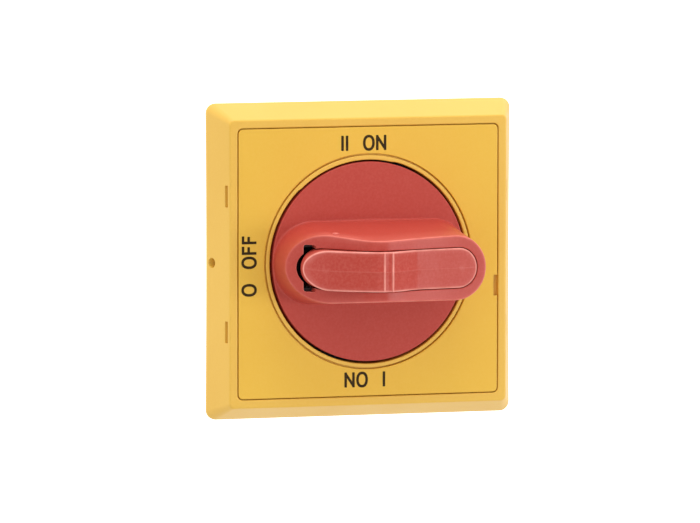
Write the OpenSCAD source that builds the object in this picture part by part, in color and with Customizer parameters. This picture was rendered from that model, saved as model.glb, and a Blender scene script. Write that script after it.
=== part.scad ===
// Front handle of a manual transfer switch, three positions (I - O - II), padlockable.
// Row frame: X right, Z up, the front faces -Y. The origin is on the spindle axis at the door plane.
// The modules are written in a working frame with x right, y up and z out of the door, and
// world() turns that frame into the row frame.

/* [Escutcheon] */
// Side of the square escutcheon at the door plane
plate_w = 65; // [65:0.5:70]
// Side of the square front face, inside the sloping walls
front_w = 59.1; // [58.6:0.1:60]
// Height of the front face above the door plane
front_z = 8; // [8:0.1:9]
// Corner radius at the door plane
corner_r = 3; // [2:0.25:4]
// Side of the snap-in legend plate
legend_w = 55.6; // [55:0.1:55.8]
// Thickness of the legend plate
legend_t = 1.2; // [1:0.1:1.5]
// Width of the thin collar that surrounds the knob
collar_t = 0.75; // [0.6:0.05:1]

/* [Knob] */
// Radius of the knob's disc
disc_r = 20.8; // [20:0.1:21]
// Height of the disc's face above the door plane
disc_z = 8.3; // [8.2:0.1:9.4]
// Radial gap between the disc and the collar
well_gap = 0.4; // [0.3:0.05:0.6]
// Half width of the grip where it meets the disc
grip_half_w = 8.4; // [8:0.1:8.8]
// Inward slope of the grip's side walls, in mm per mm of height
grip_draft = 0.101; // [0.08:0.001:0.11]
// Centre of the grip's left round end
grip_left = 12; // [11.5:0.1:12.5]
// Centre of the grip's right round end
grip_right = 13.1; // [12.8:0.1:13.4]

/* [Padlock lever] */
// Width of the lever
lever_w = 8; // [7.6:0.1:8.2]
// Half length of the lever
lever_half = 17.65; // [17.5:0.05:17.8]
// Side gap between the lever and the slot in the grip
lever_gap = 0.3; // [0.25:0.05:0.4]
// Diameter of the pivot pin
pin_d = 2.5; // [2:0.1:3]
// Length of the padlock window
window_l = 8; // [6:0.1:8.4]
// Height of the padlock window
window_h = 6; // [5:0.1:6.2]
// Travel of the lock bolt
bolt_travel = 3.2; // [2.8:0.1:3.2]

/* [Spindle] */
// Across-flats size of the square shaft socket
shaft_sq = 6.1; // [6.05:0.01:6.2]
// Radius of the rotor's journal
journal_r = 7.5; // [7.4:0.05:7.6]
// Radius of the spigot that locates in the door's hole
spigot_r = 11; // [10.8:0.1:11.2]
// Length of the spigot behind the door plane
spigot_l = 7.6; // [7.6:0.1:8]
// Half angle through which the knob turns each way
turn = 90; // [90:1:91]

/* [Fastening] */
// Pitch of the four fixing points, both ways
mount_pitch = 48; // [47:0.5:48.5]
// Core diameter of the M4 threaded inserts
insert_core = 3.3; // [3.2:0.05:3.4]

/* [Hidden] */
$fn = 96;

well_r = disc_r + well_gap;
collar_r = well_r + collar_t;
recess_w = legend_w + 0.1;
recess_z = front_z - legend_t;
hook_y = 13.9;
cover_w = 57;
cover_t = 1.5;
wall_z = 5.3;
pad_z = 2.4;
ring_t = 1;
ring_r = 14.3;
sector_r = 16.7;
hub_z = 3.9;
hub_top = 6.4;
hub_r = 16.9;
bore_r = 8.9;
bolt_x = -11.5;
bolt_r = 1.5;
bolt_tip = 3.7;
bolt_head_z = 12;
bolt_head_t = 2.55;
pin_x = -4.5;
pin_z = 19.5;
slot_half_w = lever_w / 2 + lever_gap;
slot_left = 18.5;
slot_right = 18;
cover_screw_at = [[11, 25.6], [-11, 25.6], [11, -25.6], [-11, -25.6]];
hub_screw_at = [[9.5, 6.4], [-9.5, 6.4], [9.5, -6.4], [-9.5, -6.4]];
ring_screw_a = [45, 135, 225, 315];

// Crest line of the grip's rim, and of the lever that rides in it, as [x, height]
rim_line = [[-24, 10.7], [-19.8, 15], [-14.3, 20.8], [-11, 24.6], [-8.6, 27.4], [-6.8, 29.1], [-5, 29.9],
    [-3, 30.1], [0, 29.5], [4, 28.2], [8, 27.2], [12, 26.4], [24, 24.8]];
lever_line = [[-18.6, 18], [-17.2, 20.4], [-15.5, 23.1], [-13, 26], [-10, 28.3], [-7, 30.1], [-5, 31.1],
    [-3.6, 31.6], [-1.2, 31.5], [-0.2, 30.9], [0.8, 30], [2.2, 29.1], [4.4, 28.1], [9, 27.1], [19, 25.6]];
lever_under = [[19, 15.5], [6.5, 15.5], [4.5, 16.5], [-2.5, 16.5], [-5.5, 16.4], [-10.6, 15.4], [-12, 15],
    [-12.6, 15.5], [-13.5, 17.6], [-18.6, 18]];

module world() { rotate([90, 0, 0]) children(); }

// Square prism with rounded corners, from z0 to z1
module rsq(w, r, z0, z1) {
    translate([0, 0, z0]) linear_extrude(z1 - z0) union() {
        square([w, w - 2 * r], center = true);
        square([w - 2 * r, w], center = true);
        for (x = [-1, 1], y = [-1, 1]) translate([x * (w / 2 - r), y * (w / 2 - r)]) circle(r);
    }
}

// Slot-shaped prism between two x positions, from z0 to z1
module racetrack(xl, xr, r, z0, z1) {
    translate([0, 0, z0]) linear_extrude(z1 - z0) union() {
        translate([xl + r, -r]) square([xr - xl - 2 * r, 2 * r]);
        translate([xl + r, 0]) circle(r);
        translate([xr - r, 0]) circle(r);
    }
}

// A side profile in x and z, extruded across the part
module side_profile(points, half) {
    translate([0, half, 0]) rotate([90, 0, 0]) linear_extrude(2 * half) polygon(points);
}

module tube(ro, ri, z0, z1) {
    translate([0, 0, z0]) difference() {
        cylinder(r = ro, h = z1 - z0);
        translate([0, 0, -1]) cylinder(r = ri, h = z1 - z0 + 2);
    }
}

// Annular sector from angle a0 to a1
module sector(ro, ri, a0, a1, z0, z1) {
    translate([0, 0, z0]) rotate([0, 0, a0]) rotate_extrude(angle = a1 - a0)
        translate([ri, 0]) square([ro - ri, z1 - z0]);
}

// Compression spring along z: one wire swept round a helix, 8 sides, 14 rings to the turn
module coil(mean_r, wire_r, length, turns) {
    steps = 14 * turns;
    rings = [for (i = [0 : steps]) let (
        a = 360 * i / 14,
        c = [mean_r * cos(a), mean_r * sin(a), wire_r + (length - 2 * wire_r) * i / steps])
        [for (k = [0 : 7]) let (b = 360 * k / 8)
            [c[0] + wire_r * cos(b) * cos(a), c[1] + wire_r * cos(b) * sin(a), c[2] + wire_r * sin(b)]]];
    pts = [for (r = rings) for (p = r) p];
    sides = [for (i = [0 : steps - 1]) for (k = [0 : 7]) let (n = (k + 1) % 8)
        [8 * i + k, 8 * i + n, 8 * (i + 1) + n, 8 * (i + 1) + k]];
    start = [[for (k = [7 : -1 : 0]) k]];
    end = [[for (k = [0 : 7]) 8 * steps + k]];
    polyhedron(points = pts, faces = concat(sides, start, end), convexity = 8);
}

// Yellow moulded escutcheon: sloping walls, recess for the legend plate, well for the knob
module escutcheon_housing() {
    color("#ECBE50") world() difference() {
        hull() {
            rsq(plate_w, corner_r, 0, 0.8, $fn = 48);
            rsq(front_w, 1.2, front_z - 0.1, front_z, $fn = 48);
        }
        // recess round the collar for the legend plate
        difference() {
            rsq(recess_w, 1, recess_z, front_z + 1);
            cylinder(r = collar_r, h = front_z + 2);
        }
        // pockets and side windows for the plate's snap hooks
        for (s = [-1, 1], t = [-1, 1]) {
            translate([s > 0 ? 26.6 : -27.85, t * hook_y - 2.4, wall_z - 0.9]) cube([1.25, 4.8, 5]);
            translate([s > 0 ? 27.5 : -32.5, t * hook_y - 2.25, 6.4]) cube([5, 4.5, 0.9]);
        }
        // well
        translate([0, 0, -1]) cylinder(r = well_r, h = front_z + 2);
        // recess for the rear cover
        rsq(cover_w + 0.2, 2.5, -1, cover_t);
        // hollow between the well and the side walls, round the screw bosses
        difference() {
            rsq(55, 2, cover_t - 0.5, wall_z);
            cylinder(r = well_r + 1.4, h = front_z);
            for (p = cover_screw_at) translate(p) cylinder(r = 2.6, h = front_z);
            for (x = [-1, 1], y = [-1, 1]) translate([x * mount_pitch / 2, y * mount_pitch / 2, 0]) cylinder(r = 3.9, h = front_z);
        }
        // groove for the gasket
        difference() { rsq(62.2, 2.4, -1, 0.7); rsq(59, 1.6, -2, 1); }
        // pilot holes
        for (p = cover_screw_at) translate([p[0], p[1], 0]) cylinder(r = 1.1, h = 5.1, $fn = 32);
        for (x = [-1, 1], y = [-1, 1]) translate([x * mount_pitch / 2, y * mount_pitch / 2, -1]) cylinder(r = 2.8, h = 6.2);
        // release hole in the left wall, and the guide hole through the well's wall
        translate([-34, 0, 2.3]) rotate([0, 90, 0]) cylinder(r = 1.05, h = 7, $fn = 32);
        translate([-24, 0, 3.2]) rotate([0, 90, 0]) cylinder(r = 1, h = 4, $fn = 32);
    }
    // bosses that hold the threaded inserts
    color("#ECBE50") world() for (x = [-1, 1], y = [-1, 1]) translate([x * mount_pitch / 2, y * mount_pitch / 2, 0])
        tube(3.9, 2.8, 0.2, cover_t + 0.2);
}

// Yellow legend plate with four snap hooks and a prying notch in its right edge
module legend_plate() {
    color("#EDBF4F") world() {
        difference() {
            rsq(legend_w, 1, recess_z, front_z);
            translate([0, 0, recess_z - 1]) cylinder(r = collar_r + 0.1, h = legend_t + 2);
            translate([legend_w / 2 - 1.05, -5.6 - 2.2, recess_z - 1]) cube([2, 4.4, legend_t + 2]);
        }
        for (s = [-1, 1], t = [-1, 1]) {
            translate([s > 0 ? 26.8 : -27.75, t * hook_y - 2, 4.8]) cube([0.95, 4, recess_z - 4.8 + 0.1]);
            translate([s > 0 ? 27.6 : -29, t * hook_y - 2, 6.5]) cube([1.4, 4, 0.6]);
        }
    }
}

// Black rear cover with the spigot that locates in the door
module rear_cover() {
    color("#2A2A2C") world() difference() {
        union() {
            rsq(cover_w, 2.4, 0, cover_t);
            cylinder(r = 17, h = pad_z);
            translate([0, 0, -spigot_l]) cylinder(r = spigot_r, h = spigot_l + 1);
        }
        translate([0, 0, -spigot_l - 1]) cylinder(r = bore_r, h = 20);
        // pockets that the lock bolt drops into
        for (a = [90, 180, 270]) rotate([0, 0, a]) translate([-bolt_x, 0, 0.35]) cylinder(r = 1.9, h = 5, $fn = 32);
        for (a = ring_screw_a) rotate([0, 0, a]) translate([12, 0, 0.5]) cylinder(r = 0.9, h = 5, $fn = 32);
        for (p = cover_screw_at) translate([p[0], p[1], 0]) {
            translate([0, 0, -1]) cylinder(r = 1.25, h = 5, $fn = 32);
            translate([0, 0, -1]) cylinder(r = 2.3, h = 1.9, $fn = 32);
        }
        for (x = [-1, 1], y = [-1, 1]) translate([x * mount_pitch / 2, y * mount_pitch / 2, -1]) cylinder(r = 4, h = 5);
        translate([-34, 0, 2.3]) rotate([0, 90, 0]) cylinder(r = 1.1, h = 7, $fn = 32);
    }
}

module cover_screws() {
    color("#B9BCC0") world() for (p = cover_screw_at) translate([p[0], p[1], 0]) difference() {
        union() {
            translate([0, 0, 0.05]) cylinder(r = 2.1, h = 0.85, $fn = 32);
            translate([0, 0, 0.05]) cylinder(r = 1.1, h = 4.8, $fn = 32);
        }
        for (a = [0, 90]) rotate([0, 0, a]) translate([-1.1, -0.25, -0.5]) cube([2.2, 0.5, 1.05]);
    }
}

module threaded_inserts() {
    color("#C9A227") world() for (x = [-1, 1], y = [-1, 1]) translate([x * mount_pitch / 2, y * mount_pitch / 2, 0])
        difference() {
            union() { tube(2.8, insert_core / 2, 0.2, 5.2); tube(3.3, insert_core / 2, 0.02, 0.2); }
            for (z = [1.4, 3.2]) tube(3, 2.6, z, z + 0.5);
        }
}

module panel_gasket() {
    color("#303033") world() difference() { rsq(62, 2.3, 0, 0.65); rsq(59.2, 1.7, -1, 2); }
}

// Steel index ring: three holes for the lock bolt, and the raised arc that stops the knob
module index_ring() {
    color("#AEB2B6") world() difference() {
        union() {
            tube(ring_r, bore_r + 0.3, pad_z, pad_z + ring_t);
            sector(sector_r, ring_r - 0.5, turn + 7.3, 360 - turn - 7.3, pad_z, pad_z + ring_t);
        }
        for (a = [90, 180, 270]) rotate([0, 0, a]) translate([-bolt_x, 0, 0]) cylinder(r = 1.8, h = 9, $fn = 32);
        for (a = ring_screw_a) rotate([0, 0, a]) translate([12, 0, 0]) {
            cylinder(r = 0.95, h = 9, $fn = 32);
            translate([0, 0, pad_z + 0.5]) cylinder(r = 1.75, h = 2, $fn = 32);
        }
    }
}

module index_ring_screws() {
    color("#C6C8CC") world() for (a = ring_screw_a) rotate([0, 0, a]) translate([12, 0, 0]) difference() {
        union() {
            translate([0, 0, 0.6]) cylinder(r = 0.9, h = pad_z - 0.1, $fn = 32);
            translate([0, 0, pad_z + 0.5]) cylinder(r = 1.65, h = 0.45, $fn = 32);
        }
        for (b = [0, 90]) rotate([0, 0, b]) translate([-0.9, -0.2, pad_z + 0.7]) cube([1.8, 0.4, 1]);
    }
}

module bearing_bush() {
    color("#D9D4C4") world() tube(bore_r, journal_r + 0.05, -spigot_l, 0.6);
}

module shaft_seal() {
    color("#1E1E20") world() difference() {
        tube(bore_r, journal_r + 0.08, 0.65, 2.3);
        tube(bore_r - 0.35, journal_r + 0.45, 1.3, 3);
    }
}

// Release slider behind the small hole in the left wall
module interlock_slider() {
    color("#D8D8D2") world() union() {
        translate([-27.2, -2.5, 1.6]) cube([1, 5, 3.4]);
        translate([-26.5, 0, 3.2]) rotate([0, 90, 0]) cylinder(r = 0.9, h = 6.3, $fn = 32);
    }
}

module interlock_spring() {
    color("#C0C4C8") world() translate([-26.2, 0, 3.2]) rotate([0, 90, 0]) coil(1.3, 0.15, 3.5, 4);
}

// Red knob: disc, skirt and hollow grip
module knob() {
    color("#B94B44") world() difference() {
        union() {
            translate([0, 0, hub_top]) cylinder(r = disc_r, h = disc_z - hub_top);
            tube(disc_r, disc_r - 2.2, 4.4, hub_top + 0.2);
            intersection() {
                union() {
                    for (x = [-grip_left, grip_right]) translate([x, 0, disc_z - 0.4])
                        cylinder(r1 = grip_half_w + 0.4 * grip_draft, r2 = grip_half_w - 23.2 * grip_draft, h = 23.6);
                    translate([-grip_left, 0, 0]) rotate([90, 0, 90]) linear_extrude(grip_left + grip_right)
                        polygon([for (p = [[-1, -0.4], [1, -0.4], [1, 23.2], [-1, 23.2]])
                            [p[0] * (grip_half_w - p[1] * grip_draft), disc_z + p[1]]]);
                }
                side_profile(concat([[24, 8], [-24, 8]], rim_line), 12);
                cylinder(r = disc_r - 0.3, h = 40);
            }
        }
        // slot for the padlock lever, right through
        racetrack(-slot_left, slot_right, slot_half_w, 0, 40);
        // two notches beside the lever's left end, for the hub's lugs
        translate([-16.85, -4.85, 6]) cube([2.2, 9.7, 40]);
        // bore for the pivot pin, blind at the upper side
        translate([pin_x, -10, pin_z]) rotate([-90, 0, 0]) cylinder(r = pin_d / 2, h = 16.2, $fn = 48);
        for (p = hub_screw_at) translate([p[0], p[1], 0]) cylinder(r = 1.1, h = 13.2, $fn = 32);
    }
}

// Black carrier that turns in the bush and carries the knob
module rotor_hub() {
    color("#26262A") world() difference() {
        union() {
            translate([0, 0, hub_z]) cylinder(r = hub_r, h = hub_top - hub_z);
            translate([0, 0, -14]) cylinder(r = journal_r, h = 18);
            sector(16.5, 14.7, -7, 7, 2.6, hub_z + 0.2);
            // lugs that stand in the knob's notches
            for (s = [-1, 1]) translate([-16.75, s * 4.5 - 0.3, hub_z + 1.1]) cube([2, 0.6, 12.2]);
        }
        translate([0, 0, -15]) cylinder(r = 5.2, h = 17.5);
        tube(journal_r + 1, 6.7, -9.05, -8.2);
        translate([bolt_x, 0, 0]) cylinder(r = bolt_r + 0.08, h = 10, $fn = 48);
        for (p = hub_screw_at) translate([p[0], p[1], 0]) {
            cylinder(r = 1.2, h = 9, $fn = 32);
            cylinder(r = 2.1, h = 5.25, $fn = 32);
        }
        translate([0, 0, -12]) rotate([0, 90, 0]) cylinder(r = 1.5, h = 9, $fn = 32);
    }
}

module hub_screws() {
    color("#C6C8CC") world() for (p = hub_screw_at) translate([p[0], p[1], 0]) difference() {
        union() {
            translate([0, 0, 4.05]) cylinder(r = 1.95, h = 1.2, $fn = 32);
            translate([0, 0, 4.1]) cylinder(r = 1.1, h = 8.9, $fn = 32);
        }
        for (a = [0, 90]) rotate([0, 0, a]) translate([-1.1, -0.25, 3]) cube([2.2, 0.5, 1.6]);
    }
}

// Brass coupler with the square socket for the door shaft
module shaft_coupler() {
    color("#C9A24A") world() difference() {
        translate([0, 0, -13.8]) cylinder(r = 5.2, h = 16.3);
        translate([-shaft_sq / 2, -shaft_sq / 2, -15]) cube([shaft_sq, shaft_sq, 16.8]);
        translate([0, 0, -12]) rotate([0, 90, 0]) cylinder(r = 1.5, h = 9, $fn = 32);
    }
}

module coupler_grub_screw() {
    color("#55585C") world() translate([shaft_sq / 2 + 0.1, 0, -12]) rotate([0, 90, 0]) difference() {
        cylinder(r = 1.5, h = 3.9, $fn = 32);
        translate([0, 0, 2.3]) cylinder(r = 0.85, h = 3, $fn = 6);
    }
}

module wave_washer() {
    color("#B4B8BC") world() tube(9.8, journal_r + 0.1, -spigot_l - 0.5, -spigot_l - 0.1);
}

module retaining_ring() {
    color("#8E9296") world() difference() {
        tube(9.2, 6.75, -9, -8.25);
        translate([-12, -2, -10]) cube([12, 4, 3]);
    }
}

module lever_pin() {
    color("#B4B8BC") world() translate([pin_x, -6.9, pin_z]) rotate([-90, 0, 0]) cylinder(r = pin_d / 2, h = 13, $fn = 48);
}

module bolt_spring() {
    color("#C0C4C8") world() translate([bolt_x, 0, hub_top + 0.03]) coil(2.3, 0.22, bolt_head_z - hub_top - 0.06, 4);
}

// Red rocker that lies in the grip: its window comes clear of the rim when the left end is pressed
module padlock_lever() {
    color("#C8554B") world() difference() {
        intersection() {
            racetrack(-lever_half, lever_half, lever_w / 2, 10, 40);
            side_profile(concat(lever_line, lever_under), 10);
        }
        translate([15.2 - window_l, -10, 24.2 - window_h]) cube([window_l, 20, window_h]);
        translate([pin_x, -10, pin_z]) rotate([-90, 0, 0]) cylinder(r = pin_d / 2 + 0.06, h = 20, $fn = 48);
    }
}

// Bolt that the lever's nose drives into the index ring
module lock_bolt() {
    color("#AEB2B6") world() union() {
        translate([-13.2, -2.8, bolt_head_z]) cube([5.6, 5.6, bolt_head_t]);
        translate([bolt_x, 0, bolt_tip]) cylinder(r = bolt_r, h = bolt_head_z - bolt_tip + 0.5, $fn = 48);
    }
}

escutcheon_housing();
legend_plate();
rear_cover();
cover_screws();
threaded_inserts();
panel_gasket();
index_ring();
index_ring_screws();
bearing_bush();
shaft_seal();
interlock_slider();
interlock_spring();
knob();
rotor_hub();
hub_screws();
shaft_coupler();
coupler_grub_screw();
wave_washer();
retaining_ring();
lever_pin();
bolt_spring();
padlock_lever();
lock_bolt();
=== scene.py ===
import bpy
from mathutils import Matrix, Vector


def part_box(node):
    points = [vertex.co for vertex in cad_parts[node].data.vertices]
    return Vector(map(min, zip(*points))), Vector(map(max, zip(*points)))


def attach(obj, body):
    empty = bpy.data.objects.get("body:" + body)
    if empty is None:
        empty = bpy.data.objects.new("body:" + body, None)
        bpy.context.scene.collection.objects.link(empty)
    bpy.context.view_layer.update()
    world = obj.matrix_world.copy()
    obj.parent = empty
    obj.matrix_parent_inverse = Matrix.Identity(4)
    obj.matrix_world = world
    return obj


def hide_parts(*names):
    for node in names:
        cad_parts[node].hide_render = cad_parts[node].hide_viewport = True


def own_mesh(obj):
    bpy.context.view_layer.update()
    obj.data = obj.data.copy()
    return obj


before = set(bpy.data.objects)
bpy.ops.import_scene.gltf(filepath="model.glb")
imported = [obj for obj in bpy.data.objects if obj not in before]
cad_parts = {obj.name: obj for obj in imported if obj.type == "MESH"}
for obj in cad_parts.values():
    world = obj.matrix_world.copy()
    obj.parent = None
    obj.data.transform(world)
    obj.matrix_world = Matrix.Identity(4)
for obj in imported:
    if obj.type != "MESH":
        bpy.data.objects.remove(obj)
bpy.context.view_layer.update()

import bpy, bmesh, math
import numpy as np
from mathutils import Vector
from mathutils.kdtree import KDTree

MM = 0.001
COL = bpy.context.scene.collection


# ------------------------------------------------------------------ helpers
# Local coordinates, in mm, are (x right, y up, z out of the door). The row frame is X = x, Y = -z, Z = y.
def row(p):
    p = np.asarray(p, float).reshape(-1, 3)
    return np.stack([p[:, 0], -p[:, 2], p[:, 1]], 1) * MM


def signed_volume(v, faces):
    total = 0.0
    for f in faces:
        a = v[f[0]]
        for i in range(1, len(f) - 1):
            total += np.dot(a, np.cross(v[f[i]], v[f[i + 1]]))
    return total / 6


def make(name, pts, faces, angle=38):
    """A closed mesh object from local points in mm, wound outward, with duplicate points merged."""
    v = row(pts)
    if signed_volume(v, faces) < 0:
        faces = [tuple(reversed(f)) for f in faces]
    me = bpy.data.meshes.new(name)
    me.from_pydata(v.tolist(), [], [tuple(int(i) for i in f) for f in faces])
    bm = bmesh.new()
    bm.from_mesh(me)
    bmesh.ops.remove_doubles(bm, verts=bm.verts, dist=2e-6)
    bm.to_mesh(me)
    bm.free()
    me.validate()
    ob = bpy.data.objects.new(name, me)
    COL.objects.link(ob)
    return ob


def grid_faces(nr, m, close_rings, offset=0):
    f = []
    for k in range(nr if close_rings else nr - 1):
        a, b = k * m, ((k + 1) % nr) * m
        for i in range(m):
            j = (i + 1) % m
            f.append((offset + a + i, offset + a + j, offset + b + j, offset + b + i))
    return f


def rounded(keys, closed=True):
    """Rings along a path of key rings (points, radius, steps), where each key's corner is rounded at every station."""
    out = []
    n = len(keys)
    for k, (p, r, steps) in enumerate(keys):
        p = np.asarray(p, float)
        if r <= 0 or (not closed and k in (0, n - 1)):
            out.append(p)
            continue
        u, w = keys[(k - 1) % n][0] - p, keys[(k + 1) % n][0] - p
        lu = np.maximum(np.linalg.norm(u, axis=1), 1e-9)[:, None]
        lw = np.maximum(np.linalg.norm(w, axis=1), 1e-9)[:, None]
        du, dw = np.minimum(r, 0.45 * lu), np.minimum(r, 0.45 * lw)
        a, b = p + u / lu * du, p + w / lw * dw
        out.append(p + u / lu * np.minimum(du + 0.15, 0.49 * lu))
        for t in np.linspace(0, 1, steps + 1):
            out.append((1 - t) ** 2 * a + 2 * t * (1 - t) * p + t * t * b)
        out.append(p + w / lw * np.minimum(dw + 0.15, 0.49 * lw))
    return out


def loft(name, keys, closed=True):
    rings = rounded(keys, closed)
    return make(name, np.concatenate(rings), grid_faces(len(rings), len(rings[0]), closed))


def apply_modifiers(ob):
    dg = bpy.context.evaluated_depsgraph_get()
    me = bpy.data.meshes.new_from_object(ob.evaluated_get(dg))
    ob.modifiers.clear()
    ob.data = me
    return ob


def boolean(ob, cutters, op="DIFFERENCE"):
    for c in cutters:
        m = ob.modifiers.new("cut", "BOOLEAN")
        m.operation, m.solver, m.object = op, "EXACT", c
    bpy.context.view_layer.update()
    apply_modifiers(ob)
    for c in cutters:
        bpy.data.objects.remove(c)
    return ob


def rounded_box(name, lo, hi, r=0.15, steps=3):
    """A box with rounded edges, as a loft of rounded squares along local z."""
    lo, hi = np.array(lo, float), np.array(hi, float)
    c, h = (lo + hi) / 2, (hi - lo) / 2
    r = min(r, 0.45 * h.min())
    rings = []

    def ring(inset, z):
        pts = []
        rr = max(r - inset, 1e-4)
        for q, (sx, sy) in enumerate([(1, 1), (-1, 1), (-1, -1), (1, -1)]):
            for i in range(steps + 1):
                a = math.radians(90 * q + 90 * i / steps)
                pts.append((c[0] + sx * (h[0] - r) + rr * math.cos(a), c[1] + sy * (h[1] - r) + rr * math.sin(a), z))
        return pts
    for i in range(steps + 1):
        a = math.pi / 2 * i / steps
        rings.append(ring(r * (1 - math.sin(a)), lo[2] + r * (1 - math.cos(a))))
    for i in range(steps + 1):
        a = math.pi / 2 * i / steps
        rings.append(ring(r * (1 - math.cos(a)), hi[2] - r * (1 - math.sin(a))))
    m = len(rings[0])
    faces = grid_faces(len(rings), m, False)
    faces.append(tuple(range(m - 1, -1, -1)))
    faces.append(tuple(range((len(rings) - 1) * m, len(rings) * m)))
    return make(name, np.array([p for g in rings for p in g]), faces)


def rod(name, p0, p1, r, n=40, bevel=0.0):
    """A cylinder between two local points, with bevelled ends."""
    p0, p1 = np.array(p0, float), np.array(p1, float)
    w = p1 - p0
    ln = np.linalg.norm(w)
    w /= ln
    a = np.cross(w, [0, 0, 1.0] if abs(w[2]) < 0.9 else [1.0, 0, 0])
    a /= np.linalg.norm(a)
    b = np.cross(w, a)
    prof = [(0, r)] if bevel <= 0 else [(0, r - bevel), (bevel * 0.3, r - bevel * 0.3), (bevel, r)]
    prof = prof + [(ln - t, q) for t, q in reversed(prof)]
    ang = np.linspace(0, 2 * math.pi, n, endpoint=False)
    pts = np.concatenate([p0 + w * t + q * (np.cos(ang)[:, None] * a + np.sin(ang)[:, None] * b) for t, q in prof])
    faces = grid_faces(len(prof), n, False)
    faces.append(tuple(range(n - 1, -1, -1)))
    faces.append(tuple(range((len(prof) - 1) * n, len(prof) * n)))
    return make(name, pts, faces)


def tube(name, ro, ri, z0, z1, at=(0, 0), r=0.15, n=56):
    ang = np.linspace(0, 2 * math.pi, n, endpoint=False)

    def c(rad, z):
        return np.stack([at[0] + rad * np.cos(ang), at[1] + rad * np.sin(ang), np.full(n, float(z))], 1)
    return loft(name, [(c(ro, z0), r, 3), (c(ro, z1), r, 3), (c(ri, z1), r, 3), (c(ri, z0), r, 3)])


def join(name, obs):
    """Joins objects into the first one's mesh."""
    bm = bmesh.new()
    for o in obs:
        bm.from_mesh(o.data)
    me = bpy.data.meshes.new(name)
    bm.to_mesh(me)
    bm.free()
    for o in obs[1:]:
        bpy.data.objects.remove(o)
    obs[0].data, obs[0].name = me, name
    return obs[0]


def shade(ob, angle=34, weighted=True):
    me = ob.data
    me.shade_smooth()
    me.set_sharp_from_angle(angle=math.radians(angle))
    if weighted:
        m = ob.modifiers.new("normals", "WEIGHTED_NORMAL")
        m.keep_sharp, m.weight = True, 60
    return ob


def painted_highlight(ob, curve, width, more=None, fade=None):
    """Paints a soft line of painted highlight along a closed local curve onto the mesh's points; more adds to it by
    local position.
    """
    c = np.asarray(curve, float)
    dense = np.concatenate([c + (np.roll(c, -1, 0) - c) * t for t in np.linspace(0, 1, 8, endpoint=False)])
    tree = KDTree(len(dense))
    for i, p in enumerate(dense):
        tree.insert(p, i)
    tree.balance()
    me = ob.data
    co = np.zeros(len(me.vertices) * 3)
    me.vertices.foreach_get("co", co)
    co = co.reshape(-1, 3) / MM
    local = np.stack([co[:, 0], co[:, 2], -co[:, 1]], 1)
    d = np.array([tree.find(p)[2] for p in local])
    tone = np.exp(-(d / width) ** 2)
    if fade is not None:
        tone = tone * fade(local)
    if more is not None:
        tone = np.maximum(tone, more(local))
    a = me.attributes.new("painted_highlight", "FLOAT", "POINT")
    a.data.foreach_set("value", np.clip(tone, 0, 1).astype(np.float32))


def finish_piece(ob, body, mat, slot, *replaced, angle=34):
    shade(ob, angle)
    ob.data.materials.clear()
    ob.data.materials.append(mat)
    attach(ob, body)
    if replaced:
        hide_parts(*replaced)
    return ob


# ------------------------------------------------------------------ materials
def lin(r, g, b):
    def f(c):
        c /= 255
        return c / 12.92 if c <= 0.04045 else ((c + 0.055) / 1.055) ** 2.4
    return (f(r), f(g), f(b), 1.0)


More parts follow.
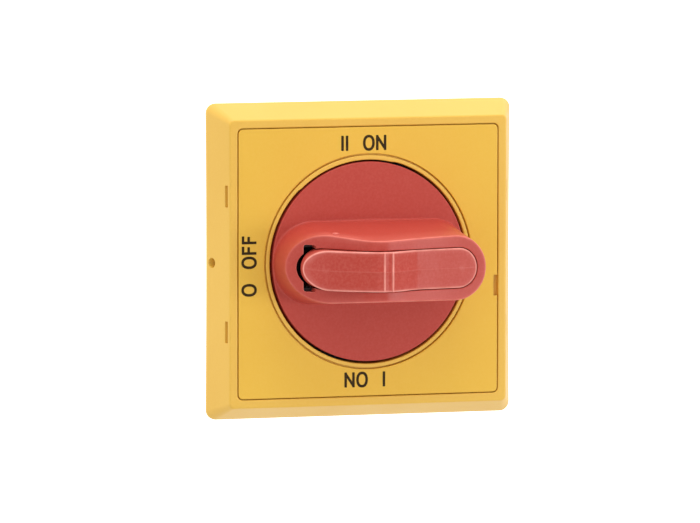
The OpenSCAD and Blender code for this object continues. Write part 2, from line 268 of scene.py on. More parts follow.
class Mat:
    """A small builder for a node material, with nodes in object coordinates."""

    def __init__(self, name):
        self.m = bpy.data.materials.new(name)
        self.m.use_nodes = True
        self.t = self.m.node_tree
        self.bsdf = self.t.nodes["Principled BSDF"]
        self.coord = self.t.nodes.new("ShaderNodeTexCoord").outputs["Object"]

    def node(self, kind, **kw):
        n = self.t.nodes.new(kind)
        for k, v in kw.items():
            setattr(n, k, v)
        return n

    def link(self, a, b):
        self.t.links.new(a, b)

    def noise(self, scale, detail=3.0, rough=0.5, stretch=None, distortion=0.0):
        n = self.node("ShaderNodeTexNoise")
        n.inputs["Scale"].default_value = scale
        n.inputs["Detail"].default_value = detail
        n.inputs["Roughness"].default_value = rough
        n.inputs["Distortion"].default_value = distortion
        if stretch:
            mp = self.node("ShaderNodeMapping")
            mp.inputs["Scale"].default_value = stretch
            self.link(self.coord, mp.inputs["Vector"])
            self.link(mp.outputs["Vector"], n.inputs["Vector"])
        else:
            self.link(self.coord, n.inputs["Vector"])
        return n.outputs["Fac"]

    def ramp(self, fac, a, b, lo=0.0, hi=1.0):
        """A map range of fac from a..b to lo..hi, clamped."""
        n = self.node("ShaderNodeMapRange")
        n.inputs["From Min"].default_value, n.inputs["From Max"].default_value = a, b
        n.inputs["To Min"].default_value, n.inputs["To Max"].default_value = lo, hi
        self.link(fac, n.inputs["Value"])
        return n.outputs["Result"]

    def mix(self, fac, a, b):
        n = self.node("ShaderNodeMix", data_type="RGBA")
        for i, v in ((6, a), (7, b)):
            if isinstance(v, tuple):
                n.inputs[i].default_value = v
            else:
                self.link(v, n.inputs[i])
        if isinstance(fac, float):
            n.inputs[0].default_value = fac
        else:
            self.link(fac, n.inputs[0])
        return n.outputs[2]

    def math(self, op, a, b=None):
        n = self.node("ShaderNodeMath", operation=op)
        for i, v in ((0, a), (1, b)):
            if v is None:
                continue
            if isinstance(v, (int, float)):
                n.inputs[i].default_value = v
            else:
                self.link(v, n.inputs[i])
        return n.outputs[0]

    def bump(self, height, distance, strength=1.0, normal=None):
        n = self.node("ShaderNodeBump")
        n.inputs["Distance"].default_value = distance
        n.inputs["Strength"].default_value = strength
        self.link(height, n.inputs["Height"])
        if normal is not None:
            self.link(normal, n.inputs["Normal"])
        return n.outputs["Normal"]

    def edges(self, radius=0.00035, lo=0.02, hi=0.16):
        """1 on edges and in corners, where a rounded normal leaves the true one, else 0."""
        b = self.node("ShaderNodeBevel", samples=6)
        b.inputs["Radius"].default_value = radius
        g = self.node("ShaderNodeNewGeometry")
        d = self.node("ShaderNodeVectorMath", operation="DOT_PRODUCT")
        self.link(b.outputs["Normal"], d.inputs[0])
        self.link(g.outputs["Normal"], d.inputs[1])
        return self.ramp(self.math("SUBTRACT", 1.0, d.outputs["Value"]), lo, hi)

    def set(self, colour=None, rough=None, normal=None, **kw):
        for key, v in (("Base Color", colour), ("Roughness", rough), ("Normal", normal)):
            if v is None:
                continue
            if isinstance(v, (int, float, tuple)):
                self.bsdf.inputs[key].default_value = v
            else:
                self.link(v, self.bsdf.inputs[key])
        for k, v in kw.items():
            self.bsdf.inputs[k.replace("_", " ")].default_value = v
        return self.m


def plastic(name, base, dark, light, rough=0.42, grain=0.0, grain_scale=5200, wear_and_sheen=0.35, spec=0.5, mottle=0.5, edge=(0.00028, 0.03, 0.2), with_painted_highlight=False):
    """Injection-moulded plastic: faint flow mottling, fine spark-eroded grain, and edges and corners painted lighter,
    partly as edge wear and partly as painted highlight.
    """
    m = Mat(name)
    broad = m.noise(55, 3, 0.55, distortion=0.4)
    fine = m.noise(1900, 4, 0.6)
    c = m.mix(m.ramp(broad, 0.35, 0.68, 0.0, mottle), base, dark)
    c = m.mix(m.ramp(fine, 0.4, 0.75, 0.0, 0.1), c, light)
    # edges and corners are lightened: partly edge wear, partly painted highlight standing in for light caught on
    # rounded edges
    e = m.edges(*edge)
    edge_patchiness = m.noise(420, 5, 0.65)
    wear_and_sheen_mix = m.math("MULTIPLY", e, m.ramp(edge_patchiness, 0.38, 0.62, 0.35 * wear_and_sheen, wear_and_sheen))
    if with_painted_highlight:
        # painted highlight: light lines along rounded edges and ridge crests, painted on the mesh as a point attribute
        painted = m.node("ShaderNodeAttribute", attribute_name="painted_highlight").outputs["Fac"]
        highlight_paint = m.math("MULTIPLY", painted, m.ramp(m.noise(330, 4, 0.6), 0.3, 0.6, 0.6, 1.0))
        wear_and_sheen_mix = m.math("MAXIMUM", wear_and_sheen_mix, highlight_paint)
    c = m.mix(wear_and_sheen_mix, c, light)
    speck = m.ramp(m.noise(2600, 2, 0.5), 0.715, 0.76, 0.0, 0.35)
    c = m.mix(speck, c, dark)
    r = m.math("ADD", m.ramp(fine, 0.3, 0.7, rough - 0.05, rough + 0.05), m.ramp(broad, 0.3, 0.7, -0.03, 0.04))
    r = m.math("SUBTRACT", r, m.math("MULTIPLY", e, 0.08))
    n = m.bump(m.noise(90, 2, 0.5), 0.00009, 0.35)
    n = m.bump(m.noise(grain_scale, 3, 0.6), 0.000012, 0.35 + grain, n)
    return m.set(c, r, n, Specular_IOR_Level=spec)


def metal(name, base, dark, rough=0.32, brushed=None, scale=900, tint=None):
    m = Mat(name)
    broad = m.noise(140, 3, 0.6, distortion=0.6)
    streak = m.noise(scale, 5, 0.65, stretch=brushed)
    c = m.mix(m.ramp(broad, 0.35, 0.7, 0.0, 0.55), base, dark)
    c = m.mix(m.ramp(streak, 0.45, 0.8, 0.0, 0.35), c, dark)
    if tint:
        c = m.mix(m.ramp(m.noise(260, 2, 0.5), 0.5, 0.72, 0.0, 0.3), c, tint)
    e = m.edges()
    c = m.mix(m.math("MULTIPLY", e, 0.5), c, (min(1, base[0] * 1.35), min(1, base[1] * 1.35), min(1, base[2] * 1.35), 1))
    r = m.math("ADD", m.ramp(streak, 0.3, 0.75, rough - 0.08, rough + 0.12), m.ramp(broad, 0.3, 0.7, -0.04, 0.05))
    n = m.bump(streak, 0.000008, 0.5)
    return m.set(c, r, n, Metallic=1.0)


def rubber(name):
    m = Mat(name)
    broad, fine = m.noise(160, 3, 0.6), m.noise(3200, 4, 0.7)
    c = m.mix(m.ramp(broad, 0.35, 0.7), lin(38, 38, 40), lin(52, 51, 51))
    c = m.mix(m.ramp(fine, 0.55, 0.8, 0.0, 0.5), c, lin(74, 73, 72))
    return m.set(c, m.ramp(fine, 0.3, 0.7, 0.62, 0.8), m.bump(fine, 0.00002, 0.6))


# the third colour of each plastic is its lighter tone, used for grain specks, edge wear and painted highlights
HOUSING = plastic("housing_yellow", lin(235, 187, 74), lin(229, 178, 66), lin(247, 210, 114), rough=0.42, wear_and_sheen=0.5, spec=0.45)
PLATE = plastic("plate_yellow", lin(236, 188, 68), lin(231, 180, 60), lin(247, 209, 106), rough=0.40, wear_and_sheen=0.6, spec=0.3)
KNOB = plastic("knob_red", lin(188, 69, 57), lin(179, 61, 50), lin(238, 134, 120), rough=0.38, wear_and_sheen=0.8, spec=0.28, mottle=0.3, with_painted_highlight=True)
LEVER = plastic("lever_red", lin(188, 69, 57), lin(179, 61, 50), lin(250, 166, 152), rough=0.35, wear_and_sheen=0.6, mottle=0.25, spec=0.2, with_painted_highlight=True)
BLACK = plastic("black_plastic", lin(40, 40, 42), lin(30, 30, 32), lin(78, 78, 80), rough=0.5, grain=0.35, grain_scale=2600, wear_and_sheen=0.6)
ACETAL = plastic("bush_acetal", lin(226, 222, 208), lin(214, 208, 190), lin(240, 238, 230), rough=0.36)
WHITE = plastic("slider_white", lin(222, 221, 215), lin(208, 206, 198), lin(238, 238, 234), rough=0.42)
ZINC = metal("zinc_steel", lin(206, 208, 212), lin(150, 153, 158), rough=0.30, tint=lin(196, 204, 214))
RING = metal("ring_steel", lin(190, 192, 195), lin(138, 140, 143), rough=0.34, brushed=(6, 1, 1))
SPRING = metal("spring_steel", lin(196, 198, 202), lin(128, 130, 134), rough=0.26, scale=1800)
BLACKSTEEL = metal("black_steel", lin(66, 66, 70), lin(38, 38, 40), rough=0.4)
BRASS = metal("brass", lin(214, 178, 104), lin(158, 120, 58), rough=0.28, scale=1500)
RUBBER = rubber("rubber")


def ink_material():
    m = Mat("ink")
    f = m.noise(2400, 4, 0.6)
    c = m.mix(m.ramp(f, 0.5, 0.8, 0.0, 0.6), lin(52, 38, 12), lin(88, 66, 22))
    return m.set(c, m.ramp(f, 0.3, 0.7, 0.5, 0.65), m.bump(f, 0.000006, 0.5), Specular_IOR_Level=0.15)


INK = ink_material()

# ------------------------------------------------------------------ dimensions, from the frame
lo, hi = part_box("escutcheon_housing")
HALF = (hi.x - lo.x) / 2 / MM           # half the escutcheon's width
FRONT_Z = -lo.y / MM                    # height of its front face
KNOB_TOP = -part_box("knob")[0].y / MM
SIDE_N, CORNER_N = 48, 10


def rsq(half, r, z, bow=0.0):
    """A rounded square; bow draws the left and right sides in at their middle, as a moulding sinks."""
    pts = []
    for q in range(4):
        c, s = round(math.cos(q * math.pi / 2)), round(math.sin(q * math.pi / 2))
        loc = [(half, -(half - r) + 2 * (half - r) * j / SIDE_N) for j in range(SIDE_N)]
        for j in range(CORNER_N):
            a = math.pi / 2 * j / CORNER_N
            loc.append((half - r + r * math.cos(a), half - r + r * math.sin(a)))
        pts += [(c * x - s * y, s * x + c * y, z) for x, y in loc]
    pts = np.array(pts, float)
    if bow:
        side = np.clip((np.abs(pts[:, 0]) - 0.8 * half) / (0.15 * half), 0, 1)
        pts[:, 0] -= np.sign(pts[:, 0]) * side * bow * (1 - (pts[:, 1] / half) ** 2)
    return pts


ANG = np.arctan2(rsq(27.8, 1, 0)[:, 1], rsq(27.8, 1, 0)[:, 0])


def ring(r, z, step=0.0):
    """A circle of radius r, drawn in by step over the arc at the top left."""
    deg = np.degrees(ANG) % 360
    inside = np.clip(np.minimum(deg - 74, 135 - deg) / 1.5, 0, 1)
    rr = r - step * inside
    return np.stack([rr * np.cos(ANG), rr * np.sin(ANG), np.full(len(ANG), float(z))], 1)


# ------------------------------------------------------------------ escutcheon housing
def build_housing():
    fz = FRONT_Z
    h = HALF
    keys = [
        (ring(21.05, 1.6), 0.12, 2),
        (ring(21.05, 6.2), 0.1, 1),
        (ring(21.05, 6.25, 0.16), 0.0, 0),
        (ring(21.05, fz, 0.16), 0.22, 4),           # well's edge
        (ring(21.82, fz), 0.14, 3),                 # collar's outer edge
        (ring(21.82, fz - 0.8), 0.04, 1),
        (ring(22.11, fz - 0.8), 0.03, 1),
        (ring(22.11, 6.8), 0.06, 1),
        (rsq(27.83, 1.1, 6.8), 0.08, 2),
        (rsq(27.83, 1.1, fz), 0.24, 4),             # groove round the legend plate
        (rsq(29.5, 1.1, fz, 0.06), 0.36, 5),        # ridge
        (rsq(h, 2.05, 0.8, 0.17), 0.12, 2),
        (rsq(h, 2.05, 0.0, 0.17), 0.15, 3),         # back edge
        (rsq(31.1, 2.4, 0.0), 0.1, 2),
        (rsq(31.1, 2.4, 0.7), 0.08, 1),
        (rsq(29.5, 1.6, 0.7), 0.08, 1),
        (rsq(29.5, 1.6, 0.0), 0.1, 2),
        (rsq(28.6, 2.5, 0.0), 0.15, 2),
        (rsq(28.6, 2.5, 1.5), 0.1, 1),
        (rsq(27.5, 2.0, 1.5), 0.2, 2),
        (rsq(27.5, 2.0, 5.3), 0.4, 3),
        (ring(22.6, 5.3), 0.4, 3),
        (ring(22.6, 1.6), 0.15, 2),
    ]
    ob = loft("housing_shell", keys)
    cut = []
    for s in (-1, 1):
        for t in (-1, 1):
            x0, x1 = (27.5, 34.0) if s > 0 else (-34.0, -27.5)
            cut.append(rounded_box("cut", (x0, t * 13.9 - 2.25, 6.4), (x1, t * 13.9 + 2.25, 7.3), 0.14))
            x0, x1 = (26.6, 27.82) if s > 0 else (-27.82, -26.6)
            cut.append(rounded_box("cut", (x0, t * 13.9 - 2.4, 4.4), (x1, t * 13.9 + 2.4, 7.9), 0.1))
    cut.append(rod("cut", (-36, 0, 2.3), (-27.0, 0, 2.3), 1.05, 36))
    cut.append(rod("cut", (-24, 0, 3.2), (-20, 0, 3.2), 1.0, 32))
    boolean(ob, cut)
    return ob


housing = build_housing()
finish_piece(housing, "root", HOUSING, "housing_yellow", "escutcheon_housing")


def build_bosses():
    parts = []
    for x in (-24, 24):
        for y in (-24, 24):
            parts.append(tube("b", 3.9, 2.8, 0.2, 5.5, (x, y), 0.12))
    for x in (-11, 11):
        for y in (-25.6, 25.6):
            parts.append(tube("b", 2.55, 1.1, 1.55, 5.5, (x, y), 0.12, 40))
    return join("housing_bosses", parts)


finish_piece(build_bosses(), "root", HOUSING, "housing_yellow", angle=40)


# ------------------------------------------------------------------ legend plate
def build_plate():
    z0, z1 = 6.8, FRONT_Z
    keys = [
        (rsq(27.62, 0.95, z0), 0.1, 2),
        (rsq(27.62, 0.95, z1), 0.15, 3),
        (ring(22.16, z1), 0.16, 3),
        (ring(22.16, z0), 0.1, 2),
    ]
    ob = loft("plate_shell", keys)
    boolean(ob, [rounded_box("cut", (26.8, -7.75, z0 - 1), (29, -3.45, z1 + 1), 0.2)])
    parts = [ob]
    for s in (-1, 1):
        for t in (-1, 1):
            a = (26.8, 27.6) if s > 0 else (-27.6, -26.8)
            parts.append(rounded_box("leg", (a[0], t * 13.9 - 2, 4.8), (a[1], t * 13.9 + 2, z0 + 0.2), 0.12))
            a = (27.4, 29.0) if s > 0 else (-29.0, -27.4)
            parts.append(rounded_box("nose", (a[0], t * 13.9 - 2, 6.5), (a[1], t * 13.9 + 2, 7.1), 0.12))
    return join("plate_shell", parts)


plate = build_plate()
finish_piece(plate, "root", PLATE, "plate_yellow", "legend_plate")


# ------------------------------------------------------------------ position marks
def stroke_box(a, b, w, z0, z1, n=5):
    """A straight stroke with rounded ends, as (points, faces)."""
    a, b = np.array(a, float), np.array(b, float)
    d = (b - a) / np.linalg.norm(b - a)
    nrm = np.array([-d[1], d[0]])
    out = []
    r = 0.12
    for c, s in ((b, 1), (a, -1)):
        for k, (u, v) in enumerate([(s, -1), (s, 1)]):
            base = c + d * s * 0 + nrm * (w / 2 * v * s)
            corner_c = base - nrm * (r * v * s) - d * (r * s)
            a0 = -90 if k == 0 else 0
            for i in range(n):
                t = math.radians(a0 + 90 * i / (n - 1))
                out.append(corner_c + r * (math.cos(t) * d * s + math.sin(t) * nrm * s))
    return prism([tuple(p) for p in out], z0, z1)


def prism(outline, z0, z1):
    m = len(outline)
    pts = [(x, y, z0) for x, y in outline] + [(x, y, z1) for x, y in outline]
    faces = [tuple(range(m - 1, -1, -1)), tuple(range(m, 2 * m))]
    faces += [(i, (i + 1) % m, m + (i + 1) % m, m + i) for i in range(m)]
    return pts, faces


def oval(cx, cy, w, h, s, z0, z1, n=56):
    """A closed oval stroke of overall width w and height h and stroke s."""
    ang = np.linspace(0, 2 * math.pi, n, endpoint=False)

    def c(a, b, z, e=2.25):
        co, si = np.cos(ang), np.sin(ang)
        return np.stack([cx + a * np.sign(co) * abs(co) ** (2 / e), cy + b * np.sign(si) * abs(si) ** (2 / e), np.full(n, z)], 1)
    rings = [c(w / 2, h / 2, z0), c(w / 2, h / 2, z1), c(w / 2 - s, h / 2 - s, z1), c(w / 2 - s, h / 2 - s, z0)]
    return np.concatenate(rings).tolist(), grid_faces(4, n, True)


def build_marks():
    z0, z1 = FRONT_Z - 0.05, FRONT_Z - 0.002 + 0.016
    z1 = min(z1, FRONT_Z + 0.016)
    s = 0.55
    parts = []

    def glyph(ch, x, w, h):
        """Strokes of one character whose lower left corner is (x, 0)."""
        g = []
        if ch == "I":
            g.append(stroke_box((x + s / 2, 0), (x + s / 2, h), s, z0, z1))
        elif ch == "O":
            g.append(oval(x + w / 2, h / 2, w, h + 0.16, s, z0, z1))
        elif ch == "N":
            g.append(stroke_box((x + s / 2, 0), (x + s / 2, h), s, z0, z1))
            g.append(stroke_box((x + w - s / 2, 0), (x + w - s / 2, h), s, z0, z1))
            dx, dy = w - s, h - s
            g.append(stroke_box((x + s / 2 - 0.02, h - s / 2), (x + w - s / 2 + 0.02, s / 2), s, z0, z1 - 0.001))
        elif ch == "F":
            g.append(stroke_box((x + s / 2, 0), (x + s / 2, h), s, z0, z1))
            g.append(stroke_box((x + s / 2, h - s / 2), (x + w, h - s / 2), s, z0, z1 - 0.001))
            g.append(stroke_box((x + s / 2, h * 0.53), (x + w * 0.92, h * 0.53), s, z0, z1 - 0.001))
        return g

    def place(strokes, turn, ox, oy):
        c, sn = round(math.cos(math.radians(turn))), round(math.sin(math.radians(turn)))
        for pts, faces in strokes:
            p = np.array(pts, float)
            q = p.copy()
            q[:, 0] = c * p[:, 0] - sn * p[:, 1] + ox
            q[:, 1] = sn * p[:, 0] + c * p[:, 1] + oy
            parts.append(make("mark", q, faces))
    h = 3.12
    # top: II and ON
    for ch, x, w in (("I", -5.93, s), ("I", -4.97, s), ("O", -1.3, 2.5), ("N", 1.47, 2.22)):
        place(glyph(ch, x, w, h), 0, 0.06, 22.8)
    # bottom, turned half round: I and ON
    for ch, x, w in (("I", -3.53, s), ("O", 0.17, 2.5), ("N", 2.98, 2.22)):
        place(glyph(ch, x, w, h), 180, 0.06, -22.74)
    # left, turned a quarter: O and OFF, reading upward
    for ch, x, w in (("O", -6.55, 2.62), ("O", -0.9, 2.56), ("F", 2.02, 1.72), ("F", 4.18, 1.66)):
        place(glyph(ch, x, w, h), 90, -23.86, -0.03)
    return join("position_marks", parts)


marks = build_marks()
marks.data.shade_flat()
marks.data.materials.append(INK)
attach(marks, "root")


# ------------------------------------------------------------------ curves of the knob and lever
def pchip(xs, ys, x):
    """Monotone cubic interpolation."""
    xs, ys, x = np.asarray(xs, float), np.asarray(ys, float), np.asarray(x, float)
    h = np.diff(xs)
    d = np.diff(ys) / h
    m = np.zeros(len(xs))
    for i in range(1, len(xs) - 1):
        if d[i - 1] * d[i] > 0:
            w1, w2 = 2 * h[i] + h[i - 1], h[i] + 2 * h[i - 1]
            m[i] = (w1 + w2) / (w1 / d[i - 1] + w2 / d[i])
    m[0], m[-1] = d[0], d[-1]
    x = np.clip(x, xs[0], xs[-1])
    i = np.clip(np.searchsorted(xs, x) - 1, 0, len(h) - 1)
    t = (x - xs[i]) / h[i]
    return ((2 * t ** 3 - 3 * t ** 2 + 1) * ys[i] + (t ** 3 - 2 * t ** 2 + t) * h[i] * m[i]
            + (-2 * t ** 3 + 3 * t ** 2) * ys[i + 1] + (t ** 3 - t ** 2) * h[i] * m[i + 1])


RIM = np.array([[-24, 10.7], [-19.8, 15], [-14.3, 20.8], [-11, 24.6], [-8.6, 27.4], [-6.8, 29.1], [-5, 29.9],
                [-3, 30.1], [0, 29.5], [4, 28.2], [8, 27.2], [12, 26.4], [24, 24.8]])
TOP = np.array([[-18.6, 18], [-17.2, 20.4], [-15.5, 23.1], [-13, 26], [-10, 28.3], [-7, 30.1], [-5, 31.1],
                [-3.8, 31.42], [-3.55, 31.56], [-3.25, 31.42], [-2.65, 31.3], [-2.05, 31.36], [-1.75, 31.52], [-1.5, 31.3],
                [-0.2, 30.65], [0.8, 30.1], [2.2, 29.2],
                [4.2, 28.1], [4.6, 27.95], [9, 27.1], [19, 25.6]])
UNDER = np.array([[-18.6, 18.0], [-13.5, 17.6], [-12.6, 15.5], [-12, 15], [-10.6, 15.4], [-5.5, 16.4], [-2.5, 16.5],
                  [4.5, 16.5], [6.5, 15.5], [19, 15.5]])


def rim_z(x):
    return pchip(RIM[:, 0], RIM[:, 1], x)


def top_z(x):
    x = np.asarray(x, float)
    smooth = pchip(TOP[:, 0], TOP[:, 1], x)
    k = np.linspace(-0.16, 0.16, 9)
    w = np.exp(-(k / 0.08) ** 2)
    sharp = sum(wi * np.interp(x + ki, TOP[:, 0], TOP[:, 1]) for ki, wi in zip(k, w)) / w.sum()
    b = np.clip((x + 6) / 1.5, 0, 1)
    return smooth * (1 - b) + sharp * b


def under_z(x):
    k = np.linspace(-0.3, 0.3, 7)
    return sum(np.interp(np.asarray(x, float) + ki, UNDER[:, 0], UNDER[:, 1]) for ki in k) / 7


# ------------------------------------------------------------------ knob
def build_knob():
    n_side, n_end = 64, 44
    cxo, cxs, nx, ny = [], [], [], []
    for j in range(n_side):                          # upper side, right to left
        t = j / n_side
        cxo.append(13.1 - 25.1 * t), cxs.append(13.7 - 27.4 * t), nx.append(0), ny.append(1)
    for j in range(n_end):                           # left end
        a = math.pi * (0.5 + j / n_end)
        cxo.append(-12.0), cxs.append(-13.7), nx.append(math.cos(a)), ny.append(math.sin(a))
    for j in range(n_side):                          # lower side, left to right
        t = j / n_side
        cxo.append(-12.0 + 25.1 * t), cxs.append(-13.7 + 27.4 * t), nx.append(0), ny.append(-1)
    for j in range(n_end):                           # right end
        a = math.pi * (-0.5 + j / n_end)
        cxo.append(13.1), cxs.append(13.7), nx.append(math.cos(a)), ny.append(math.sin(a))
    cxo, cxs, nx, ny = map(np.array, (cxo, cxs, nx, ny))
    # the wall's outline at a height: drafted in as it rises, and held within radius 20.15 on the right
    def outer(z):
        z = np.broadcast_to(np.asarray(z, float), cxo.shape)
        r = 8.4 - 0.101 * (z - 8.3)
        p = np.stack([cxo + r * nx, r * ny, z], 1)
        rad = np.hypot(p[:, 0], p[:, 1])
        lim = np.where(p[:, 0] > 0, 20.15, 99)
        s = np.minimum(1, lim / rad)
        p[:, 0] *= s
        p[:, 1] *= s
        return p

    def slot(z, half=4.3):
        return np.stack([cxs + half * nx, half * ny, np.broadcast_to(np.asarray(z, float), cxs.shape)], 1)

    base = outer(8.3)
    ang = np.arctan2(base[:, 1], base[:, 0])

    def disc(r, z):
        return np.stack([r * np.cos(ang), r * np.sin(ang), np.full(len(ang), float(z))], 1)

    z = np.full(cxo.shape, 24.0)
    for _ in range(60):
        z = 0.5 * z + 0.5 * rim_z(outer(z)[:, 0])
    edge_o = outer(z)
    edge_s = slot(rim_z(slot(0)[:, 0]), 4.2)
    lip = slot(edge_s[:, 2] - 2.6)
    mid = 0.5 * (edge_o + edge_s)
    mid[:, 2] = rim_z(mid[:, 0])

    def between(f):
        return outer(8.3 + (z - 8.3) * f)
    keys = [
        (slot(6.4), 0.12, 1),
        (disc(18.6, 6.4), 0.2, 2),
        (disc(18.6, 4.4), 0.15, 2),
        (disc(20.5, 4.4), 0.2, 2),
        (disc(20.5, 8.3), 0.17, 4),
        (base, 0.55, 5),
        (between(0.33), 0, 0),
        (between(0.66), 0, 0),
        (edge_o, 0.32, 5),
        (mid, 0, 0),
        (edge_s, 0.16, 4),
        (lip, 0.2, 2),
        (slot(12.0), 0, 0),
    ]
    ob = loft("knob_body", keys)
    cuts = [rounded_box("cut", (-16.8, -4.8, 5), (-14.7, 4.8, 45), 0.45, 4),
            rod("cut", (-4.5, -10, 19.5), (-4.5, 6.2, 19.5), 1.25, 40)]
    for x in (-9.5, 9.5):
        for y in (-6.4, 6.4):
            cuts.append(rod("cut", (x, y, 2), (x, y, 13.2), 1.1, 28))
    boolean(ob, cuts)
    # gate vestige on the upper wall
    zz = 21.7
    yy = 8.4 - 0.101 * (zz - 8.3)
    nrm = np.array([0, 1, 0.101]) / math.hypot(1, 0.101)
    t1, t2 = np.array([1.0, 0, 0]), np.array([0, -0.101, 1]) / math.hypot(1, 0.101)
    c = np.array([-11.05, yy, zz])
    rings, n = [], 28
    for r, hgt in ((0.85, -0.2), (0.8, 0.1), (0.68, 0.24), (0.52, 0.22), (0.3, 0.04)):
        a = np.linspace(0, 2 * math.pi, n, endpoint=False)
        rings.append(c + nrm * hgt + r * (np.cos(a)[:, None] * t1 + np.sin(a)[:, None] * t2))
    faces = grid_faces(len(rings), n, False) + [tuple(range(n - 1, -1, -1)), tuple(range(4 * n, 5 * n))]
    gate = make("gate", np.concatenate(rings), faces)
    ob = join("knob_body", [ob, gate])

    # painted highlight on the gate vestige: a bright spot with a soft edge
    def gate_highlight(p):
        return 0.9 * np.exp(-(np.linalg.norm(p - c - nrm * 0.1, axis=1) / 0.75) ** 4)
    # painted highlight along the rim's outer edge, fainter towards the left end
    tip = 0.5 * (edge_o + outer(z - 0.25))
    painted_highlight(ob, tip, 0.3, gate_highlight, lambda p: 0.25 + 0.6 * np.clip((p[:, 0] + 17) / 5, 0, 1))
    return ob


knob = build_knob()
finish_piece(knob, "rotor", KNOB, "knob_red", "knob")


# ------------------------------------------------------------------ padlock lever
def build_lever():
    xs = []
    stops = np.unique(np.round(np.concatenate([
        np.linspace(13.65, 5.2, 16), np.linspace(5.2, -6, 130), np.linspace(-6, -13.4, 18)]), 4))[::-1]
    n_end = 36
    cx, nx, ny = [], [], []
    for x in stops[:-1]:
        cx.append(x), nx.append(0), ny.append(1)
    for j in range(n_end):
        a = math.pi * (0.5 + j / n_end)
        cx.append(-13.4), nx.append(math.cos(a)), ny.append(math.sin(a))
    for x in stops[::-1][:-1]:
        cx.append(x), nx.append(0), ny.append(-1)
    for j in range(n_end):
        a = math.pi * (-0.5 + j / n_end)
        cx.append(13.65), nx.append(math.cos(a)), ny.append(math.sin(a))
    cx, nx, ny = map(np.array, (cx, nx, ny))

    def at(f, zf, dz=0.0, half=4.08):
        r = half * f
        p = np.stack([cx + r * nx, r * ny, np.zeros(len(cx))], 1)
        p[:, 2] = zf(p[:, 0]) + dz
        return p

    edge_t, edge_b = at(1, top_z, -0.02), at(1, under_z, 0.0, 4.0)
    side_mid = 0.5 * (edge_t + edge_b)
    keys = [
        (at(0.0, under_z), 0, 0),
        (at(0.4, under_z), 0, 0),
        (at(0.75, under_z), 0, 0),
        (edge_b, 0.25, 3),
        (side_mid, 0, 0),
        (edge_t, 0.34, 5),
        (at(0.72, top_z, 0.0), 0, 0),
        (at(0.4, top_z, 0.0), 0, 0),
        (at(0.045, top_z, 0.0), 0, 0),
        (at(0.02, top_z, 0.035), 0, 0),
        (at(0.0, top_z, 0.035), 0, 0),
    ]
    rings = rounded(keys, closed=False)
    m = len(cx)
    ob = make("lever_body", np.concatenate(rings), grid_faces(len(rings), m, False))
    cuts = [rounded_box("cut", (7.2, -10, 18.2), (15.2, 10, 24.2), 0.4, 4),
            rod("cut", (-4.5, -10, 19.5), (-4.5, 10, 19.5), 1.31, 40)]
    boolean(ob, cuts)

    # painted highlights: bright lines on the two ridge crests and a faint line on the parting seam along the top
    def crease_highlights(p):
        on_top = (p[:, 2] > top_z(p[:, 0]) - 0.25) & (np.abs(p[:, 1]) < 4.2)
        a = np.exp(-((p[:, 0] + 3.55) / 0.17) ** 2)
        b = np.exp(-((p[:, 0] + 1.75) / 0.2) ** 2)
        seam = 0.12 * np.exp(-(p[:, 1] / 0.1) ** 2)
        return np.where(on_top, np.maximum(np.maximum(a, b) * 1.0, seam), 0)
    # painted highlight along the lever's top edge
    curve = at(1, top_z, -0.1, 3.98)
    painted_highlight(ob, curve, 0.24, crease_highlights)
    return ob


lever = build_lever()
finish_piece(lever, "padlock_lever", LEVER, "lever_red", "padlock_lever", angle=40)

# ------------------------------------------------------------------ carried-over CAD nodes
FINISH = {
    "rear_cover": (BLACK, 0.16), "cover_screws": (ZINC, 0.06), "threaded_inserts": (BRASS, 0.08), "panel_gasket": (RUBBER, 0.12),
    "index_ring": (RING, 0.1), "index_ring_screws": (ZINC, 0.05), "bearing_bush": (ACETAL, 0.1), "shaft_seal": (RUBBER, 0.1),
    "interlock_slider": (WHITE, 0.1), "interlock_spring": (SPRING, 0), "rotor_hub": (BLACK, 0.15), "hub_screws": (ZINC, 0.05),
    "shaft_coupler": (BRASS, 0.12), "coupler_grub_screw": (BLACKSTEEL, 0.05), "wave_washer": (SPRING, 0), "retaining_ring": (SPRING, 0.05),
    "lever_pin": (SPRING, 0.12), "bolt_spring": (SPRING, 0), "lock_bolt": (RING, 0.12),
}
for name, (mat, width) in FINISH.items():
    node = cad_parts[name]
    for i in range(len(node.material_slots)):
        node.material_slots[i].link = "OBJECT"
        node.material_slots[i].material = mat
    if not node.material_slots:
        node.data.materials.append(mat)


# ------------------------------------------------------------------ springs, copied from their coils
def coil(node, name, body):
    """A copy of a spring's own coil, riding on the given body in place of the CAD node."""
    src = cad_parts[node]
    me = src.data.copy()
    me.transform(src.matrix_world)
    ob = bpy.data.objects.new(name, me)
    COL.objects.link(ob)
    me.materials.clear()
    me.materials.append(SPRING)
    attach(ob, body)
    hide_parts(node)
    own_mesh(ob)
    return ob


coil("bolt_spring", "bolt_spring_coil", "rotor")
coil("interlock_spring", "interlock_spring_coil", "root")

# ------------------------------------------------------------------ floor, light and camera
def stage_material():
    m = Mat("studio_white")
    n = m.noise(2.0, 2, 0.5)
    m.set(m.mix(m.ramp(n, 0.3, 0.7, 0, 0.2), (0.93, 0.93, 0.93, 1), (0.9, 0.9, 0.9, 1)), 0.9)
    m.bsdf.inputs["Emission Color"].default_value = (1, 1, 1, 1)
    m.bsdf.inputs["Emission Strength"].default_value = 0.85
    return m.m


def build_stage():
    """A pale floor, a wide round disc well below the part."""
    n = 96
    v = [(0, 0, -0.28)] + [(14 * math.cos(2 * math.pi * i / n), 14 * math.sin(2 * math.pi * i / n), -0.28) for i in range(n)]
    f = [(0, i + 1, (i + 1) % n + 1) for i in range(n)]
    me = bpy.data.meshes.new("studio_floor")
    me.from_pydata(v, [], f)
    me.materials.append(stage_material())
    ob = bpy.data.objects.new("studio_floor", me)
    ob.visible_diffuse = ob.visible_glossy = False
    COL.objects.link(ob)


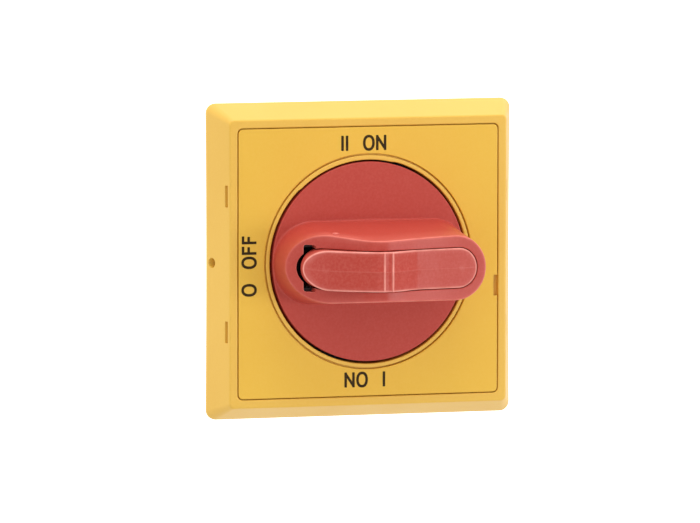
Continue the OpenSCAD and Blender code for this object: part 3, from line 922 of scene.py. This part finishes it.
build_stage()


def area(name, at, look, size, power, colour=(1, 1, 1)):
    l = bpy.data.lights.new(name, "AREA")
    l.shape, l.size, l.size_y, l.energy, l.color = "RECTANGLE", size[0], size[1], power, colour
    o = bpy.data.objects.new(name, l)
    COL.objects.link(o)
    o.location = at
    o.rotation_euler = (Vector(look) - Vector(at)).to_track_quat("-Z", "Y").to_euler()
    return o


area("top", (-0.1, -0.16, 1.15), (0, 0, 0), (0.7, 0.3), 4.1)
area("softbox_front", (-0.2, -1.68, -0.5), (0, 0, 0), (0.6, 0.5), 12)
area("softbox_right", (1.2, -1.2, -0.2), (0, 0, 0), (0.7, 0.7), 11.5)

world = bpy.data.worlds.new("studio")
bpy.context.scene.world = world
world.use_nodes = True
wt = world.node_tree
bg = wt.nodes["Background"]
bg.inputs["Color"].default_value = (1, 1, 1, 1)


def wnode(kind, **kw):
    n = wt.nodes.new(kind)
    for k, v in kw.items():
        setattr(n, k, v)
    return n


# soft tent light: bright overhead, below and behind, darker on the camera's side, and plain white where the camera sees it directly
direction = wnode("ShaderNodeTexCoord").outputs["Generated"]
sep = wnode("ShaderNodeSeparateXYZ")
wt.links.new(direction, sep.inputs[0])


def wrange(src, a, b, lo_v, hi_v):
    n = wnode("ShaderNodeMapRange", interpolation_type="SMOOTHSTEP")
    wt.links.new(src, n.inputs["Value"])
    for k, v in (("From Min", a), ("From Max", b), ("To Min", lo_v), ("To Max", hi_v)):
        n.inputs[k].default_value = v
    return n.outputs["Result"]


def wadd(a, b):
    n = wnode("ShaderNodeMath", operation="ADD")
    wt.links.new(a, n.inputs[0])
    wt.links.new(b, n.inputs[1])
    return n.outputs[0]


mul = wadd(wadd(wrange(sep.outputs["Y"], -0.5, 0.1, 0.79, 1.3), wrange(sep.outputs["Z"], 0.2, 0.9, 0.0, 0.2)),
           wadd(wrange(sep.outputs["Z"], -0.15, -0.9, 0.0, -0.15), wrange(sep.outputs["X"], 0.72, 0.95, 0.0, -0.25)))
seen = wnode("ShaderNodeLightPath").outputs["Is Camera Ray"]
pick = wnode("ShaderNodeMix")
wt.links.new(seen, pick.inputs[0])
wt.links.new(mul, pick.inputs[2])
pick.inputs[3].default_value = 1.05
wt.links.new(pick.outputs[0], bg.inputs["Strength"])

scene = bpy.context.scene
scene.view_settings.view_transform = "Standard"
scene.view_settings.look = "None"
scene.view_settings.exposure = 0.0
scene.view_settings.gamma = 1.0

az, el, roll, dist = math.radians(-16.522), math.radians(5.45), math.radians(0.087), 1.6727
cam_data = bpy.data.cameras.new("camera")
cam = bpy.data.objects.new("camera", cam_data)
COL.objects.link(cam)
d = Vector((math.sin(az) * math.cos(el), -math.cos(az) * math.cos(el), math.sin(el)))
cam.location = d * dist
cam.rotation_mode = "QUATERNION"
q = (-d).to_track_quat("-Z", "Y")
from mathutils import Quaternion
cam.rotation_quaternion = q @ Quaternion((0, 0, 1), roll)
cam_data.sensor_width = 36
cam_data.lens = 418.27
cam_data.shift_x = -7.5 / 700
cam_data.shift_y = -3.7 / 700
cam_data.dof.use_dof = False
cam_data.clip_start, cam_data.clip_end = 0.01, 50
scene.camera = cam
